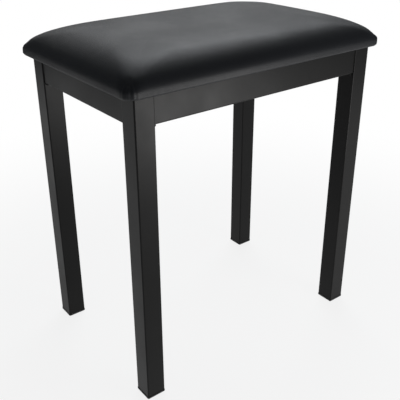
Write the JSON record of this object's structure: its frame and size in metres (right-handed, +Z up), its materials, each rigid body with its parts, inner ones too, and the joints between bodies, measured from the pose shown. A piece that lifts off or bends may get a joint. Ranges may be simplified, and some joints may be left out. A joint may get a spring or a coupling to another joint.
{
  "type": "piano bench",
  "caption": "Backless piano bench: four straight square-tube legs, shallow rails between them under a padded, crowned rectangular seat, and plugs in the feet.",
  "frame": {"origin": "on the floor, in the middle of the footprint", "axes": "+Z up, +X along the seat's length to the right as seen from the front, +Y towards the rear; the front long side faces -Y"},
  "size_m": [0.46, 0.304, 0.5142],
  "materials": {
    "powder_coated_steel": "satin black powder coat",
    "plug_plastic": "moulded black plastic",
    "leathercloth": "black leathercloth, fine grain, soft sheen",
    "foam": "open-cell foam",
    "plywood": "bare plywood",
    "lining_cloth": "black non-woven cloth",
    "zinc_steel": "bright zinc plate"
  },
  "bodies": {
    "root": {"leg_front_left": "powder_coated_steel", "leg_front_right": "powder_coated_steel", "leg_rear_left": "powder_coated_steel", "leg_rear_right": "powder_coated_steel", "rail_front": "powder_coated_steel", "rail_rear": "powder_coated_steel", "rail_left": "powder_coated_steel", "rail_right": "powder_coated_steel", "foot_plug_front_left": "plug_plastic", "foot_plug_front_right": "plug_plastic", "foot_plug_rear_left": "plug_plastic", "foot_plug_rear_right": "plug_plastic", "gusset_front_left": "powder_coated_steel", "gusset_front_right": "powder_coated_steel", "gusset_rear_left": "powder_coated_steel", "gusset_rear_right": "powder_coated_steel", "weld_beads": "powder_coated_steel", "seat_board": "plywood", "seat_foam": "foam", "seat_cover": "leathercloth", "bottom_lining": "lining_cloth", "cover_staples": "zinc_steel", "lining_staples": "zinc_steel", "tee_nuts": "zinc_steel", "seat_bolts": "zinc_steel", "bolt_washers": "zinc_steel"}
  },
  "joints": []
}
